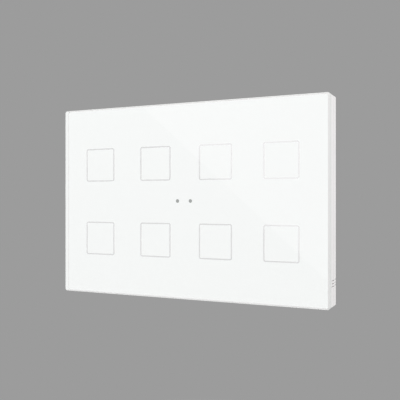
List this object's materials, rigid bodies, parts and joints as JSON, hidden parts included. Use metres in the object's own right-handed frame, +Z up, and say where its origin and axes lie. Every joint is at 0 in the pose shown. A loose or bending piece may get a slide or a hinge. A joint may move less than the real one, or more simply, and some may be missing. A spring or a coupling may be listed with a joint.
{
  "type": "touch light switch",
  "caption": "Wall-mounted glass touch panel with square touch areas, slim moulded frame, hook-on steel plate and rear plug connectors.",
  "frame": {"origin": "middle of the box screw pattern, on the back face of the wall plate, where it lies on the wall", "axes": "+X to the right as seen from the room, +Y into the wall, +Z up; the glass faces -Y"},
  "size_m": [0.12, 0.0236, 0.081],
  "materials": {
    "clear_glass": "polished, with ground bevels",
    "outline_ink": "silver-grey ink fired into shallow grooves",
    "dot_ink": "grey ink that passes infrared",
    "white_film": "smooth printed white film",
    "adhesive": "acrylic foam tape",
    "white_housing": "fine moulded texture",
    "mask_plastic": "plain moulded",
    "diffuser_plastic": "milky acrylic",
    "copper_pad": "etched copper",
    "circuit_board": "solder resist with tracks",
    "lamp_body": "moulded lamp package",
    "sensor_epoxy": "dark filter epoxy",
    "chip_epoxy": "moulded epoxy",
    "metal_can": "drawn can",
    "ferrite": "pressed ferrite",
    "tantalum": "moulded resin",
    "resistor_ceramic": "glazed ceramic",
    "probe_bead": "dipped epoxy bead",
    "switch_plastic": "moulded",
    "clear_plastic": "clear acrylic",
    "key_plastic": "moulded grey",
    "header_plastic": "glass-filled nylon",
    "tinned_pin": "tinned",
    "bus_red": "moulded nylon",
    "bus_grey": "moulded nylon",
    "contact_bronze": "stamped spring bronze",
    "terminal_green": "moulded nylon",
    "screw_steel": "zinc plated",
    "magnet_nickel": "nickel plated",
    "zinc_plate": "zinc-plated sheet"
  },
  "bodies": {
    "wall_plate": {"wall_plate": "zinc_plate"},
    "panel": {"glass_front": "clear_glass", "touch_outlines": "outline_ink", "sensor_windows": "dot_ink", "print_film": "white_film", "tape_ring": "adhesive", "side_frame": "white_housing", "rear_cover": "white_housing", "light_mask": "mask_plastic", "touch_pads": "copper_pad", "main_board": "circuit_board", "status_leds": "lamp_body", "proximity_emitter": "sensor_epoxy", "proximity_receiver": "sensor_epoxy", "controller_chip": "chip_epoxy", "bus_chip": "chip_epoxy", "touch_chip": "chip_epoxy", "crystal": "metal_can", "inductor": "ferrite", "buffer_capacitors": "tantalum", "chip_resistors": "resistor_ceramic", "buzzer": "switch_plastic", "temperature_probe": "probe_bead", "switch_body": "switch_plastic", "programming_led": "lamp_body", "light_pipe": "clear_plastic", "bus_header": "header_plastic", "bus_pins": "tinned_pin", "input_header": "terminal_green", "input_pins": "tinned_pin", "cover_screws": "screw_steel", "diffuser_1": "diffuser_plastic", "diffuser_2": "diffuser_plastic", "diffuser_3": "diffuser_plastic", "diffuser_4": "diffuser_plastic", "diffuser_5": "diffuser_plastic", "diffuser_6": "diffuser_plastic", "diffuser_7": "diffuser_plastic", "diffuser_8": "diffuser_plastic", "magnet_1": "magnet_nickel", "magnet_2": "magnet_nickel", "magnet_3": "magnet_nickel", "magnet_4": "magnet_nickel"},
    "programming_button": {"programming_key": "key_plastic", "switch_stem": "switch_plastic"},
    "bus_plug": {"bus_plug_red": "bus_red", "bus_plug_grey": "bus_grey", "bus_contacts": "contact_bronze"},
    "input_plug": {"input_plug": "terminal_green", "plug_contacts": "contact_bronze"},
    "clamp_screw_1": {"clamp_screw_1": "screw_steel"},
    "wire_clamp_1": {"wire_clamp_1": "screw_steel"},
    "clamp_screw_2": {"clamp_screw_2": "screw_steel"},
    "wire_clamp_2": {"wire_clamp_2": "screw_steel"},
    "clamp_screw_3": {"clamp_screw_3": "screw_steel"},
    "wire_clamp_3": {"wire_clamp_3": "screw_steel"}
  },
  "joints": [
    {"name": "panel_lift", "type": "slide", "parent": "wall_plate", "child": "panel", "axis": [0, 0, 1], "range_m": [0, 0.0045]},
    {"name": "programming_press", "type": "slide", "parent": "panel", "child": "programming_button", "axis": [0, -1, 0], "range_m": [0, 0.00025], "stiffness_N_per_m": 4000, "springref_m": -0.0001},
    {"name": "bus_plug_pull", "type": "slide", "parent": "panel", "child": "bus_plug", "axis": [0, 1, 0], "range_m": [0, 0.006]},
    {"name": "input_plug_pull", "type": "slide", "parent": "panel", "child": "input_plug", "axis": [0, 1, 0], "range_m": [0, 0.006]},
    {"name": "clamp_screw_1_turn", "type": "hinge", "parent": "input_plug", "child": "clamp_screw_1", "pos_m": [0.00519, 0.0041, 0.005], "axis": [0, 0, -1], "range_deg": [0, 1080]},
    {"name": "wire_clamp_1_rise", "type": "slide", "parent": "input_plug", "child": "wire_clamp_1", "axis": [0, 0, 1], "range_m": [0, 0.0012]},
    {"name": "clamp_screw_2_turn", "type": "hinge", "parent": "input_plug", "child": "clamp_screw_2", "pos_m": [0.009, 0.0041, 0.005], "axis": [0, 0, -1], "range_deg": [0, 1080]},
    {"name": "wire_clamp_2_rise", "type": "slide", "parent": "input_plug", "child": "wire_clamp_2", "axis": [0, 0, 1], "range_m": [0, 0.0012]},
    {"name": "clamp_screw_3_turn", "type": "hinge", "parent": "input_plug", "child": "clamp_screw_3", "pos_m": [0.01281, 0.0041, 0.005], "axis": [0, 0, -1], "range_deg": [0, 1080]},
    {"name": "wire_clamp_3_rise", "type": "slide", "parent": "input_plug", "child": "wire_clamp_3", "axis": [0, 0, 1], "range_m": [0, 0.0012]}
  ],
  "couplings": [
    {"joint": "clamp_screw_1_turn", "follows": "wire_clamp_1_rise", "rad_per_m": 15708},
    {"joint": "clamp_screw_2_turn", "follows": "wire_clamp_2_rise", "rad_per_m": 15708},
    {"joint": "clamp_screw_3_turn", "follows": "wire_clamp_3_rise", "rad_per_m": 15708}
  ]
}
